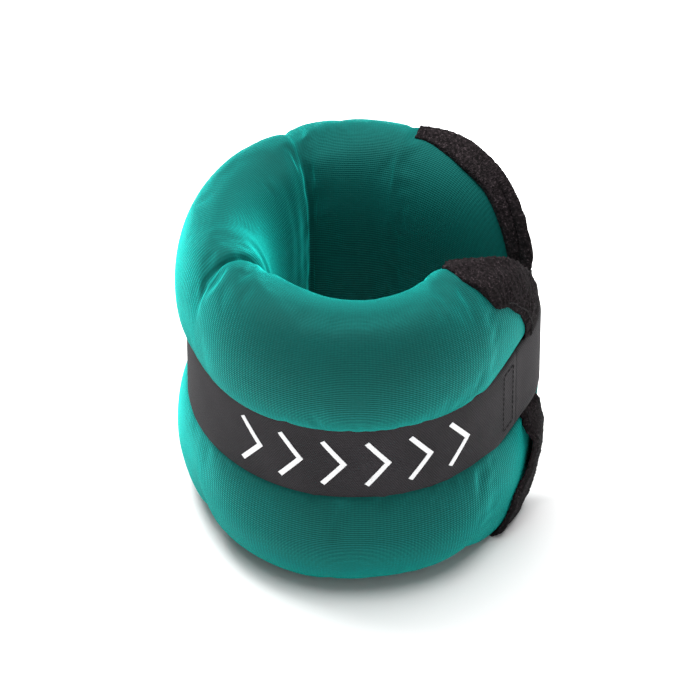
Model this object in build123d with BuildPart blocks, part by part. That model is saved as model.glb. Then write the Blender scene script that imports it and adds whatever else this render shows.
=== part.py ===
"""Ankle cuff weight: a sand-filled neoprene pad rolled round the leg, with a strap at its waist.

Millimetres. +Z is up along the axis of the cuff, and the cuff stands on Z = 0. Plan angles are
in degrees from +X, counter-clockwise seen from above. The pad is closed, as it is worn: it runs
from the far end, counter-clockwise through the back, side and front lobes, to the near end.
"""
from build123d import *
from math import atan, cos, degrees, radians, sin, sqrt, tan
import os

os.makedirs("parts", exist_ok=True)

# ---- Driving dimensions ----
pad_height = 135.0
bulge_radius = 67.0  # outermost skin, above and below the strap
opening_radius = 32.0  # inner skin, at the middle of a lobe
crest_radius = 50.0  # highest line of a lobe
gap_angle = 10.0  # plan angle of the gap between the two ends
rear_crease = 117.0  # plan angle of the fold between back and side lobes
front_crease = 205.0  # plan angle of the fold between side and front lobes

strap_width = 38.0
strap_thick = 1.6
strap_edge_room = 0.4  # between the strap's edge and the groove's wall
waist_radius = 61.4  # floor of the strap's groove

cover_thick = 3.0
bag_thick = 0.8
lining_room = 0.4  # between cover and bag, and between bag and fill
sewn_room = 0.05  # between pieces sewn face to face
body_room = 0.35  # between pieces on different moving bodies
crease_room = 0.25  # degrees, from a crease to the section beside it

# ---- Full section of a lobe ----
rest_cut = 0.5  # how far the section reaches below the floor, before it is cut flat
rest_half_width = 4.0
hinge_radius = 63.1  # the folds turn about the strap's outer face
rear_relief = 17.0  # degrees each side of a crease, cut from the bulges so that the fold can open
front_relief = 32.0

# ---- Shape of the two ends ----
corner_angle = 55.0  # from the gap to where an end starts to round off
corner_radius = 48.9
corner_blend = 15.0  # degrees over which the crest moves onto the flange's plane
end_steps = [0.0, 0.25, 0.45, 0.62, 0.76, 0.87, 0.95, 0.985]  # sections along a pillow's end
end_swell = 7.6  # how far a thin end would swell outside the strap's groove if it went on to the corner
end_overhang = 2.0  # how far a thick end would swell outside the bulge
tip_angle = 6.0  # from the gap to the tip of an end
tip_radius = 58.6
binding_width = 9.0  # from the pillow's end to the tip, in the middle
binding_thick = 4.6
binding_depth = 1.2  # how deep the flange sits inside the binding's fold
flange_thick = 2.4
flange_room = 0.1
flange_root = 0.8  # how deep the flange is rooted in the pillow's wall
flange_trim = 5.0  # from an end's corner to where its flange and binding begin
stitch_trim = 27.0  # from an end's corner to where the binding's stitching begins
binding_clear = 1.6  # from the pillow's outline to the binding

# ---- Strap, flap and tapes ----
peel_angle = -6.0  # where the flap leaves the front lobe
flap_rise_end = 24.0  # from here on the flap lies on the loop tape
flap_bow = 1.4  # how far the flap bows out where it bridges the gap
mid_angle = 38.0  # joint between the flap's root and its middle
tail_angle = 71.0  # joint between the flap's middle and its tail
flap_end = 103.0
strap_start = 22.0  # where the sewn strap begins on the back lobe
loop_start = 40.0
loop_end = 112.0
tape_thick = 1.0
tape_width = 30.0
hem_length = 12.0
thread_thick = 0.35
thread_width = 0.7
link_room = 0.3  # degrees, from a joint of the flap to the link beside it

# ---- Worked-out values ----
mid_height = pad_height / 2
strap_low = mid_height - strap_width / 2
strap_in = waist_radius + 2 * sewn_room
strap_out = strap_in + strap_thick
loop_in = strap_out + sewn_room
loop_out = loop_in + tape_thick
hook_in = loop_out + body_room
hook_out = hook_in + tape_thick
flap_in = hook_out + sewn_room
flap_out = flap_in + strap_thick
groove_half = strap_width / 2 + strap_edge_room


def polar(radius, angle):
    """Point in plan at a radius and an angle."""
    return (radius * cos(radians(angle)), radius * sin(radians(angle)))


def radial_plane(angle):
    """Upright plane through the cuff's axis: local x is the radius, local y is the height."""
    c, s = polar(1, angle)
    return Plane(origin=(0, 0, 0), x_dir=(c, s, 0), z_dir=(s, -c, 0))


# The flange of each end lies in an upright plane through its corner and its tip.
corner = Vector(*polar(corner_radius, corner_angle))
tip = Vector(*polar(tip_radius, tip_angle))
end_length = (tip - corner).length
flange_lean = degrees(atan((corner.X - tip.X) / (tip.Y - corner.Y)))
flange_distance = corner_radius * cos(radians(corner_angle - flange_lean))
pillow_length = end_length - binding_width


def end_run(from_gap):
    """Distance from an end's corner along its flange, at an angle from the gap."""
    start = tan(radians(corner_angle - flange_lean))
    return flange_distance * (start - tan(radians(from_gap - flange_lean)))


def end_angle(run):
    """Angle from the gap at a distance along an end's flange: the reverse of end_run."""
    start = tan(radians(corner_angle - flange_lean))
    return flange_lean + degrees(atan(start - run / flange_distance))


def swell(fraction):
    """Quarter-round rise from 0 to 1 as a fraction goes from 0 to 1."""
    return sqrt(max(0.0, 1 - (1 - min(fraction, 1.0)) ** 2))


def pad_section(angle, shrink):
    """Section of the pad on the radial plane at an angle, taken in by shrink on every side."""
    from_gap = abs((angle - gap_angle + 180) % 360 - 180)
    crest = crest_radius
    outer = bulge_radius
    inner = opening_radius
    half = mid_height + rest_cut
    if from_gap < corner_angle:
        taper = swell(1 - end_run(from_gap) / pillow_length)
        blend = min(1.0, (corner_angle - from_gap) / corner_blend)
        flange_radius = flange_distance / cos(radians(from_gap - flange_lean))
        crest = crest_radius + (flange_radius - crest_radius) * blend
        slim = waist_radius + end_swell - crest_radius
        full = bulge_radius + end_overhang - crest_radius
        rise = slim + (full - slim) * taper**2
        outer = min(bulge_radius, crest + rise * taper)
        inner = crest - (crest_radius - opening_radius) * taper
        half = (mid_height + rest_cut) * taper
    floor = min(waist_radius, outer)
    wall = groove_half if half > groove_half + 6 else 0.6 * half
    bulge = max(0.56 * half, wall + 0.25 * (half - wall))
    flat = rest_half_width * half / mid_height

    outer -= shrink
    inner += shrink
    half -= shrink
    floor = min(floor - shrink, outer - 0.01)
    wall += shrink
    bulge = max(bulge, wall + 0.3)
    flat = min(flat, (crest - inner) / 2, (outer - crest) / 2)

    with BuildSketch(radial_plane(angle)) as section:
        with BuildLine(Plane.XY):
            low = (mid_height - half, mid_height - bulge, mid_height - wall)
            high = (mid_height + wall, mid_height + bulge, mid_height + half)
            inside = (mid_height - 0.5 * half, mid_height + 0.5 * half)
            Line((crest - flat, low[0]), (crest + flat, low[0]))
            quarter((crest + flat, low[0]), (outer, low[0]), (outer, low[1]))
            quarter((outer, low[1]), (outer, low[2]), (floor, low[2]))
            Line((floor, low[2]), (floor, high[0]))
            quarter((floor, high[0]), (outer, high[0]), (outer, high[1]))
            quarter((outer, high[1]), (outer, high[2]), (crest + flat, high[2]))
            Line((crest + flat, high[2]), (crest - flat, high[2]))
            quarter((crest - flat, high[2]), (inner, high[2]), (inner, inside[1]))
            Line((inner, inside[1]), (inner, inside[0]))
            quarter((inner, inside[0]), (inner, low[0]), (crest - flat, low[0]))
        make_face()
    return section.sketch


def quarter(start, corner_point, end):
    """Quarter-round curve from start to end, tangent to the two legs of their corner."""
    reach = 4 / 3 * (sqrt(2) - 1)
    handles = [tuple(p + (c - p) * reach for p, c in zip(at, corner_point)) for at in (start, end)]
    return Bezier(start, handles[0], handles[1], end)


def end_angles(side, last):
    """Angles of an end's sections, from its corner to the last share of the pillow's length."""
    kept = [step for step in end_steps if step <= last]
    return [gap_angle + side * end_angle(pillow_length * step) for step in kept]


def pad_length(lobe, shrink, last, inset, mode=Mode.ADD):
    """One lobe's length of the pad, taken in by shrink.

    The length stops short of each crease by inset degrees, and runs into a free end as far as
    the last share of that end's pillow.
    """
    start, stop = lobe_angles[lobe]
    if lobe != "back":
        start += inset
    if lobe != "front":
        stop -= inset
    revolve(pad_section(start, shrink), axis=Axis.Z, revolution_arc=stop - start, mode=mode)
    if lobe != "side":
        side = 1 if lobe == "back" else -1
        loft([pad_section(angle, shrink) for angle in end_angles(side, last)], ruled=True, mode=mode)


def cut_relief(angle, half_angle):
    """Cut the wedge that a fold closes when it opens, outside its hinge."""
    apex = Vector(*polar(hinge_radius, angle))
    reach = bulge_radius - hinge_radius + 2
    spread = reach * tan(radians(half_angle))
    base = Plane(origin=(apex.X, apex.Y, 0), x_dir=(*polar(1, angle), 0), z_dir=(0, 0, 1))
    with BuildSketch(base) as wedge:
        with BuildLine():
            Polyline((0, 0), (reach, spread), (reach, -spread), close=True)
        make_face()
    extrude(wedge.sketch, amount=pad_height + 2, mode=Mode.SUBTRACT)


def flange_plane():
    """Plane of the far end's flange: x runs from the corner to the tip, y is up."""
    start = corner.rotate(Axis.Z, gap_angle)
    along = (tip - corner).rotate(Axis.Z, gap_angle)
    return Plane(
        origin=(start.X, start.Y, mid_height),
        x_dir=(along.X, along.Y, 0),
        z_dir=along.cross(Vector(0, 0, 1)),
    )


def end_crescent(outer_inset, inner_inset, thickness, mode=Mode.ADD):
    """Crescent in the flange's plane, between the end's outline and the pillow's outline."""
    with BuildSketch(flange_plane()) as crescent:
        Ellipse(end_length - outer_inset, mid_height - outer_inset)
        Ellipse(pillow_length - inner_inset, mid_height - inner_inset, mode=Mode.SUBTRACT)
        with Locations((end_length / 2 + flange_trim, 0)):
            Rectangle(end_length, pad_height, mode=Mode.INTERSECT)
    extrude(crescent.sketch, amount=thickness / 2, both=True, mode=mode)


gap_mirror = Plane(origin=(0, 0, 0), z_dir=Vector(0, 1, 0).rotate(Axis.Z, gap_angle))


def band(radius_in, radius_out, start, stop, width, mode=Mode.ADD):
    """Band round the cuff's axis, centred on the waist, between two plan angles."""
    with BuildSketch(radial_plane(start)) as profile:
        with Locations(((radius_in + radius_out) / 2, mid_height)):
            Rectangle(radius_out - radius_in, width)
    revolve(profile.sketch, axis=Axis.Z, revolution_arc=stop - start, mode=mode)


def thread_box(radius, start, stop, width):
    """Rectangular run of thread lying on a band, between two plan angles."""
    inset = degrees(thread_width / radius)
    band(radius, radius + thread_thick, start, stop, width)
    band(
        radius - 1,
        radius + thread_thick + 1,
        start + inset,
        stop - inset,
        width - 2 * thread_width,
        mode=Mode.SUBTRACT,
    )


lobe_angles = {
    "back": (gap_angle + corner_angle, rear_crease),
    "side": (rear_crease, front_crease),
    "front": (front_crease, gap_angle - corner_angle + 360),
}

# ---- Covers: neoprene sleeve, open at the creases, closed to a flange at each end ----
with BuildPart() as cover_back:
    pad_length("back", 0, 1.0, crease_room)
    pad_length("back", cover_thick, 0.87, -crease_room, mode=Mode.SUBTRACT)
    end_crescent(binding_depth, flange_root, flange_thick)
    cut_relief(rear_crease, rear_relief)
    split(bisect_by=Plane.XY, keep=Keep.TOP)
cover_back.part.label = "cover_back"
export_step(cover_back.part, "parts/cover_back.step")

with BuildPart() as cover_side:
    pad_length("side", 0, 1.0, crease_room)
    pad_length("side", cover_thick, 1.0, -crease_room, mode=Mode.SUBTRACT)
    cut_relief(rear_crease, rear_relief)
    cut_relief(front_crease, front_relief)
    split(bisect_by=Plane.XY, keep=Keep.TOP)
cover_side.part.label = "cover_side"
export_step(cover_side.part, "parts/cover_side.step")

with BuildPart() as near_flange:
    end_crescent(binding_depth, flange_root, flange_thick)
    mirror(about=gap_mirror, mode=Mode.REPLACE)

with BuildPart() as cover_front:
    pad_length("front", 0, 1.0, crease_room)
    pad_length("front", cover_thick, 0.87, -crease_room, mode=Mode.SUBTRACT)
    add(near_flange.part)
    cut_relief(front_crease, front_relief)
    split(bisect_by=Plane.XY, keep=Keep.TOP)
cover_front.part.label = "cover_front"
export_step(cover_front.part, "parts/cover_front.step")

# ---- Sand bags: closed cloth shells inside the covers ----
bag_shrink = cover_thick + lining_room
bag_inset = 2.5  # degrees, clear of the wedge that is cut from the cover at a crease
fill_shrink = bag_shrink + bag_thick + lining_room
fill_inset = bag_inset + 2

for lobe in lobe_angles:
    with BuildPart() as bag:
        pad_length(lobe, bag_shrink, 0.76, bag_inset)
        pad_length(lobe, bag_shrink + bag_thick, 0.62, bag_inset + 1, mode=Mode.SUBTRACT)
    bag.part.label = "bag_" + lobe
    export_step(bag.part, "parts/bag_" + lobe + ".step")

    # The body of iron sand in that bag.
    with BuildPart() as fill:
        pad_length(lobe, fill_shrink, 0.45, fill_inset)
    fill.part.label = "fill_" + lobe
    export_step(fill.part, "parts/fill_" + lobe + ".step")

# ---- Bindings: loop tape folded round the flange of each end ----
with BuildPart() as far_end_binding:
    end_crescent(0, -binding_clear, binding_thick)
    end_crescent(
        binding_depth - flange_room,
        flange_root,
        flange_thick + 2 * flange_room,
        mode=Mode.SUBTRACT,
    )
far_end_binding.part.label = "far_end_binding"
export_step(far_end_binding.part, "parts/far_end_binding.step")

with BuildPart() as near_end_binding:
    add(far_end_binding.part)
    mirror(about=gap_mirror, mode=Mode.REPLACE)
near_end_binding.part.label = "near_end_binding"
export_step(near_end_binding.part, "parts/near_end_binding.step")

# ---- Binding stitching: one row of thread on each face of the binding ----
row_length = end_length - binding_width / 2
row_half_height = mid_height - 2
with BuildPart() as far_end_stitching:
    with BuildSketch(flange_plane()) as row:
        Ellipse(row_length, row_half_height)
        Ellipse(row_length - thread_width, row_half_height - thread_width, mode=Mode.SUBTRACT)
        with Locations((end_length / 2 + stitch_trim, 0)):
            Rectangle(end_length, pad_height, mode=Mode.INTERSECT)
    extrude(row.sketch, amount=binding_thick / 2 + sewn_room + thread_thick, both=True)
    with BuildSketch(flange_plane()) as core:
        Rectangle(4 * end_length, 2 * pad_height)
    extrude(core.sketch, amount=binding_thick / 2 + sewn_room, both=True, mode=Mode.SUBTRACT)
far_end_stitching.part.label = "far_end_stitching"
export_step(far_end_stitching.part, "parts/far_end_stitching.step")

with BuildPart() as near_end_stitching:
    add(far_end_stitching.part)
    mirror(about=gap_mirror, mode=Mode.REPLACE)
near_end_stitching.part.label = "near_end_stitching"
export_step(near_end_stitching.part, "parts/near_end_stitching.step")

# ---- Sewn strap: webbing in the groove at the waist, one length to each lobe ----
with BuildPart() as strap_back:
    band(strap_in, strap_out, strap_start, rear_crease - crease_room, strap_width)
strap_back.part.label = "strap_back"
export_step(strap_back.part, "parts/strap_back.step")

with BuildPart() as strap_side:
    band(strap_in, strap_out, rear_crease + crease_room, front_crease - crease_room, strap_width)
strap_side.part.label = "strap_side"
export_step(strap_side.part, "parts/strap_side.step")

with BuildPart() as strap_front:
    band(strap_in, strap_out, front_crease + crease_room, 360 + peel_angle - link_room, strap_width)
strap_front.part.label = "strap_front"
export_step(strap_front.part, "parts/strap_front.step")

# ---- Strap stitching: a box of thread on each sewn length ----
box_run = 14.0  # degrees of arc along one box
box_width = 30.0

with BuildPart() as strap_stitching_back:
    thread_box(strap_out + sewn_room, strap_start + 2, strap_start + 2 + box_run, box_width)
strap_stitching_back.part.label = "strap_stitching_back"
export_step(strap_stitching_back.part, "parts/strap_stitching_back.step")

with BuildPart() as strap_stitching_side:
    thread_box(strap_out + sewn_room, rear_crease + 4, rear_crease + 4 + box_run, box_width)
strap_stitching_side.part.label = "strap_stitching_side"
export_step(strap_stitching_side.part, "parts/strap_stitching_side.step")

with BuildPart() as strap_stitching_front:
    box_end = 360 + peel_angle - 2
    thread_box(strap_out + sewn_room, box_end - box_run / 2, box_end, box_width)
strap_stitching_front.part.label = "strap_stitching_front"
export_step(strap_stitching_front.part, "parts/strap_stitching_front.step")

# ---- Print: a row of plain chevrons on the front of the strap ----
print_thick = 0.15
chevron_count = 6
chevron_pitch = 15.0  # degrees
chevron_height = 21.0
chevron_point = 8.0
chevron_line = 2.0

print_in = strap_out + sewn_room / 2
with BuildPart() as print_skin:
    band(print_in, print_in + print_thick, front_crease, 360 + peel_angle, strap_width)

with BuildPart() as strap_print:
    for number in range(chevron_count):
        facing = 270 + (number - (chevron_count - 1) / 2) * chevron_pitch
        along = (*polar(1, facing + 90), 0)
        outward = (*polar(1, facing), 0)
        with BuildSketch(Plane((0, 0, mid_height), x_dir=along, z_dir=outward)) as chevron:
            with BuildLine():
                Polyline(
                    (-chevron_point / 2, chevron_height / 2),
                    (chevron_point / 2, 0),
                    (-chevron_point / 2, -chevron_height / 2),
                )
            trace(line_width=chevron_line)
        extrude(chevron.sketch, amount=bulge_radius + 5)
    add(print_skin.part, mode=Mode.INTERSECT)
strap_print.part.label = "strap_print"
export_step(strap_print.part, "parts/strap_print.step")

# ---- Flap: the strap's free end, in three links that peel off one after another ----
flap_mid_radius = (flap_in + flap_out) / 2
sewn_mid_radius = (strap_in + strap_out) / 2
rise_middle = (flap_rise_end + peel_angle) / 2

with BuildPart() as flap_root:
    with BuildSketch(Plane.XY.offset(strap_low)) as root_plan:
        with BuildLine():
            leave = polar(sewn_mid_radius, peel_angle + link_room)
            crest_point = polar((sewn_mid_radius + flap_mid_radius) / 2 + flap_bow, rise_middle)
            land = polar(flap_mid_radius, flap_rise_end)
            Spline(
                leave,
                crest_point,
                land,
                tangents=[polar(1, peel_angle + 90), polar(1, flap_rise_end + 90)],
            )
            CenterArc((0, 0), flap_mid_radius, flap_rise_end, mid_angle - link_room - flap_rise_end)
        trace(line_width=strap_thick)
    extrude(root_plan.sketch, amount=strap_width)
flap_root.part.label = "flap_root"
export_step(flap_root.part, "parts/flap_root.step")

with BuildPart() as flap_mid:
    band(flap_in, flap_out, mid_angle + link_room, tail_angle - link_room, strap_width)
flap_mid.part.label = "flap_mid"
export_step(flap_mid.part, "parts/flap_mid.step")

with BuildPart() as flap_tail:
    band(flap_in, flap_out, tail_angle + link_room, flap_end, strap_width)
flap_tail.part.label = "flap_tail"
export_step(flap_tail.part, "parts/flap_tail.step")

hem_run = degrees(hem_length / flap_out)
hem_in = flap_out + sewn_room
with BuildPart() as tail_hem:
    band(hem_in, hem_in + strap_thick, flap_end - hem_run, flap_end, strap_width)
tail_hem.part.label = "tail_hem"
export_step(tail_hem.part, "parts/tail_hem.step")

# ---- Hook and loop tapes ----
with BuildPart() as loop_patch:
    band(loop_in, loop_out, loop_start, loop_end, tape_width)
loop_patch.part.label = "loop_patch"
export_step(loop_patch.part, "parts/loop_patch.step")

hook_inset = 2.0  # degrees, from a link's end to its hook tape
with BuildPart() as hook_patch_mid:
    band(hook_in, hook_out, mid_angle + hook_inset, tail_angle - hook_inset, tape_width)
hook_patch_mid.part.label = "hook_patch_mid"
export_step(hook_patch_mid.part, "parts/hook_patch_mid.step")

with BuildPart() as hook_patch_tail:
    band(hook_in, hook_out, tail_angle + hook_inset, flap_end - 2 * hook_inset, tape_width)
hook_patch_tail.part.label = "hook_patch_tail"
export_step(hook_patch_tail.part, "parts/hook_patch_tail.step")

# ---- Hook stitching: thread round the hook tapes, seen on the flap's outer face ----
hook_thread_in = flap_out + sewn_room
hook_box_inset = hook_inset + 1
hook_box_width = tape_width - 2

with BuildPart() as hook_stitching_mid:
    box_start = mid_angle + hook_box_inset
    thread_box(hook_thread_in, box_start, tail_angle - hook_box_inset, hook_box_width)
hook_stitching_mid.part.label = "hook_stitching_mid"
export_step(hook_stitching_mid.part, "parts/hook_stitching_mid.step")

with BuildPart() as hook_stitching_tail:
    box_start = tail_angle + hook_box_inset
    thread_box(hook_thread_in, box_start, flap_end - hem_run - 0.5, hook_box_width)
hook_stitching_tail.part.label = "hook_stitching_tail"
export_step(hook_stitching_tail.part, "parts/hook_stitching_tail.step")
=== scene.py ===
"""Ankle cuff weight: the visible cloth, webbing, tape and thread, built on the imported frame.

Lengths inside the shape functions are in millimetres and plan angles in degrees from +X, counter-
clockwise seen from above; meshes are written in metres.
"""
from math import atan2, cos, degrees, exp, pi, radians, sin, sqrt

import bmesh
import bpy
from bpy.props import FloatProperty, FloatVectorProperty, IntProperty, PointerProperty
from mathutils import Euler, Matrix, Vector, noise


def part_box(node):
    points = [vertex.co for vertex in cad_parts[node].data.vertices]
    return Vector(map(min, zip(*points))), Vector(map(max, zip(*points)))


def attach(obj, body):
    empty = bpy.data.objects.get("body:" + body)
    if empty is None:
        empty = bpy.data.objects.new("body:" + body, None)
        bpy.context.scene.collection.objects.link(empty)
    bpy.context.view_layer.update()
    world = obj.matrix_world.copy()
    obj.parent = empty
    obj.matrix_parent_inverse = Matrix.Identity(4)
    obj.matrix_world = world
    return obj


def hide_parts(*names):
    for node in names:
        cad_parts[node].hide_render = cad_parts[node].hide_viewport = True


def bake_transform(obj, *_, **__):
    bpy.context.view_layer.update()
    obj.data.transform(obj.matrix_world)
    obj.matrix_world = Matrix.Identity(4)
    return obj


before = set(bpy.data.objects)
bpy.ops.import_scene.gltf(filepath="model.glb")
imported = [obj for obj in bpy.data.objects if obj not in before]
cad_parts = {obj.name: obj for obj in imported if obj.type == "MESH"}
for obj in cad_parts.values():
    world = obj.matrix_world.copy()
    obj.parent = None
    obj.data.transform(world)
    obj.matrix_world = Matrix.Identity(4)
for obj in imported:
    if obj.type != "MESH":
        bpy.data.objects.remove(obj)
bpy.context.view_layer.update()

bl_info = {
    "name": "Ankle cuff weight",
    "version": (1, 0, 0),
    "blender": (4, 5, 0),
    "location": "View3D > Sidebar > Cuff weight",
    "description": "Builds a rolled, sand-filled cuff weight with its strap, flap and bindings",
    "category": "Add Mesh",
}

MM = 0.001

# ---- Places fixed by the frame ----
PAD_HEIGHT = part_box("cover_side")[1].z / MM
MID_HEIGHT = (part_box("strap_side")[0].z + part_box("strap_side")[1].z) / 2 / MM
STRAP_WIDTH = (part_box("strap_side")[1].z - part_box("strap_side")[0].z) / MM
STRAP_OUT = -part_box("strap_side")[0].x / MM
TAPE_WIDTH = (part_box("loop_patch")[1].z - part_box("loop_patch")[0].z) / MM
FLAP_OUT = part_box("flap_tail")[1].y / MM
SEWN_ROOM = 0.05  # between two layers sewn or hooked together
TIP_LIFT = 2.6  # the flap lifted by the two bound ends that it runs over
THREAD_LIFT = 0.1  # a stitch above the webbing
GAP_ANGLE = 10.0
REAR_CREASE = 117.0
FRONT_CREASE = 205.0
SIDE_MIDDLE = (REAR_CREASE + FRONT_CREASE) / 2
PEEL_ANGLE = -6.0
MID_ANGLE = 38.0
TAIL_ANGLE = 71.0
FLAP_END = 103.0
STRAP_START = 22.0
FLAP_START = 340.0  # where the sewn strap goes on as the flap
ROOT_END = 16.0  # where the flap's first piece ends

# ---- Ends of the pad: tip angle, then for the upper and the lower half the corner's angle and
# radius, the edge's radius near the tip, how blunt the outline is and how late the radius grows ----
ENDS = {
    "far": (10.0, (66.5, 51.0, 66.6, 2.8, 0.85), (62.0, 53.0, 66.4, 2.8, 0.9)),
    "near": (361.0, (315.0, 46.5, 68.2, 2.5, 1.6), (327.0, 57.5, 69.6, 3.0, 1.0)),
}
TAKE_IN = 0.6  # how much smaller the pad starts than it ends, since it swells
EDGE_ROOM = 1.045  # the outline's length over the filled pillow's
LEG_WIDTHS = {"far": (9.0, 8.5, 0.62), "near": (20.0, 9.0, 0.33)}  # outer leg, inner leg, taper
END_SHARE = 0.18  # share of the pad's length in each end
END_CROWDING = 0.75  # how closely sections crowd toward a tip

# ---- Shape of the pad's section, as shares of its half height ----
BORE_SHARE = 0.45
GROOVE_SHARE = 0.6
BULGE_SHARE = 0.56
GROOVE = 15.5  # half height of the strap's groove, in mm
GROOVE_WIDER = 4.7  # how much wider it is under the flap, in mm

# ---- Cloth and folds ----
CLOTH_PITCH = 0.0036  # metres of cloth between two points round the section
CLOTH_FRAMES = 20
FOLD_HELD = 1.6  # degrees each side of a crease that stay put
BINDING_ROOM = 0.9  # half the thickness of the pad's edge inside the binding, in mm

# ---- Filling ----
BAG_INSET = 5.0
SAND_INSET = 6.4
SAND_SHORTER = 1.5  # degrees at each end of a bag

# ---- Camera ----
CAMERA_RISE = 42.5
CAMERA_DISTANCE = 2.59
CAMERA_LENS = 355
CAMERA_AIM = (-0.00195, 0, -0.0005)  # from the cuff's middle, in metres


class CuffSizes(bpy.types.PropertyGroup):
    """Sizes of the cuff's cloth parts."""

    bulge_radius: FloatProperty(
        name="Bulge radius", description="Outermost skin, above and below the strap, in mm", default=67.2
    )
    opening_radius: FloatProperty(
        name="Opening radius", description="Inner skin at the middle of a lobe, in mm", default=31.0
    )
    crest_radius: FloatProperty(
        name="Crest radius", description="Highest line of a lobe, in mm", default=50.0
    )
    waist_radius: FloatProperty(
        name="Waist radius", description="Skin under the strap, in mm", default=61.3
    )
    fold_radius: FloatProperty(
        name="Fold radius", description="Bottom of the fold between two lobes, in mm", default=38.5
    )
    fold_dip: FloatProperty(
        name="Fold dip", description="How far a fold dips below the crest, in mm", default=8.5
    )
    strap_thick: FloatProperty(name="Strap thickness", description="Webbing, in mm", default=1.6)
    tape_thick: FloatProperty(name="Tape thickness", description="Hook and loop tape, in mm", default=1.0)
    thread_thick: FloatProperty(name="Thread thickness", description="Sewing thread, in mm", default=0.5)
    along_count: IntProperty(
        name="Sections", description="Sections along the pad", default=300, min=40
    )


class CuffColours(bpy.types.PropertyGroup):
    """Colours of the cuff's finishes, linear."""

    cover: FloatVectorProperty(
        name="Cover", description="Knitted face of the neoprene", subtype="COLOR", size=3,
        default=(0.0005, 0.068, 0.060),
    )
    cover_rim: FloatVectorProperty(
        name="Cover nap", description="Light that the knit's nap catches at its rim", subtype="COLOR",
        size=3, default=(0.02, 0.9, 0.8),
    )
    binding: FloatVectorProperty(
        name="Binding", description="Fuzzy loop binding", subtype="COLOR", size=3,
        default=(0.006, 0.0045, 0.005),
    )
    webbing: FloatVectorProperty(
        name="Webbing", description="Woven strap", subtype="COLOR", size=3,
        default=(0.026, 0.023, 0.026),
    )
    print_ink: FloatVectorProperty(
        name="Print", description="Ink of the chevrons", subtype="COLOR", size=3,
        default=(0.83, 0.83, 0.84),
    )
    thread: FloatVectorProperty(
        name="Thread", description="Sewing thread", subtype="COLOR", size=3,
        default=(0.012, 0.011, 0.012),
    )
    bag: FloatVectorProperty(
        name="Bag", description="Cloth of the sand bags", subtype="COLOR", size=3,
        default=(0.33, 0.31, 0.27),
    )
    sand: FloatVectorProperty(
        name="Sand", description="Iron sand", subtype="COLOR", size=3, default=(0.07, 0.055, 0.045)
    )
    floor: FloatVectorProperty(
        name="Floor", description="Studio floor", subtype="COLOR", size=3, default=(0.9, 0.9, 0.9)
    )


def sizes():
    return bpy.context.scene.cuff_sizes


def colours():
    return bpy.context.scene.cuff_colours


# ---- Plan geometry ----
def polar(radius, angle, height=0.0):
    """Point at a radius, a plan angle and a height, in metres."""
    a = radians(angle)
    return Vector((radius * cos(a), radius * sin(a), height)) * MM


def plan_angle(point):
    """Plan angle of a point, from 0 to 360, with the near end's tip kept above 360."""
    angle = degrees(atan2(point.y, point.x)) % 360
    return angle + 360 if angle < GAP_ANGLE else angle


def swell(fraction):
    """Quarter-round rise from 0 to 1."""
    return sqrt(max(0.0, 1 - (1 - min(max(fraction, 0.0), 1.0)) ** 2))


def smooth(fraction):
    """Smooth step from 0 to 1."""
    t = min(max(fraction, 0.0), 1.0)
    return t * t * (3 - 2 * t)


def outline(end, side, angle):
    """Radius and height above the middle of an end's edge at a plan angle, on either half."""
    tip, upper, lower = ENDS[end]
    corner, corner_radius, edge_radius, blunt, late = upper if side > 0 else lower
    share = min(max((angle - corner) / (tip - corner), 0.0), 1.0)
    height = PAD_HEIGHT / 2 * (1 - share ** blunt) ** (1 / blunt)
    radius = corner_radius + (edge_radius - corner_radius) * share ** late
    under_strap = 60.6 + 1.4 * (end == "far")
    radius += (min(radius, under_strap) - radius) * (1 - smooth((height - 20) / 13))
    return radius, height


def far_share(angle):
    return (angle - ENDS["far"][1][0]) / (ENDS["far"][0] - ENDS["far"][1][0])


def near_share(angle):
    return (angle - ENDS["near"][1][0]) / (ENDS["near"][0] - ENDS["near"][1][0])


def pad_station(share):
    """Plan angle at a share of the pad's length, from the far end's tip to the near end's."""
    far, near = ENDS["far"], ENDS["near"]
    for end, part in ((far, share), (near, 1 - share)):
        if part < END_SHARE:
            along = cos(pi / 2 * part / END_SHARE) ** END_CROWDING / EDGE_ROOM * 0.9995
            return end[1][0] + (end[0] - end[1][0]) * along
    middle = (share - END_SHARE) / (1 - 2 * END_SHARE)
    return far[1][0] + (near[1][0] - far[1][0]) * middle


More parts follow.
